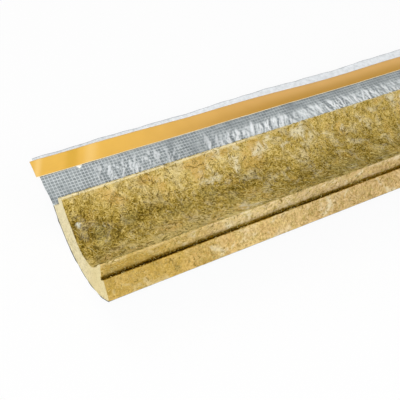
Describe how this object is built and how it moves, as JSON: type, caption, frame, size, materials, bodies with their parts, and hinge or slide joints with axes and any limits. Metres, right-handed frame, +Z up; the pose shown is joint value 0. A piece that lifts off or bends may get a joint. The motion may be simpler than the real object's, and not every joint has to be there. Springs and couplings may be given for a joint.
{
  "type": "mineral wool pipe section segment",
  "caption": "Quarter segment of a rigid mineral wool pipe section with stepped long edges, a scrim reinforced foil facing and a closing lap with an adhesive band under its release liner.",
  "frame": {"origin": "middle of the bounding box at floor level, the liner's pull tab included", "axes": "+X along the length, away from the end with the pull tab; +Y across, towards the closing lap; +Z up, out of the bore"},
  "size_m": [1.006, 0.2728, 0.0857],
  "materials": {
    "mineral_wool": "matte",
    "scrim_foil": "satin",
    "adhesive": "satin",
    "liner_paper": "satin"
  },
  "bodies": {
    "root": {"wool_segment": "mineral_wool", "foil_facing": "scrim_foil", "adhesive_band": "adhesive", "release_liner": "liner_paper"}
  },
  "joints": []
}
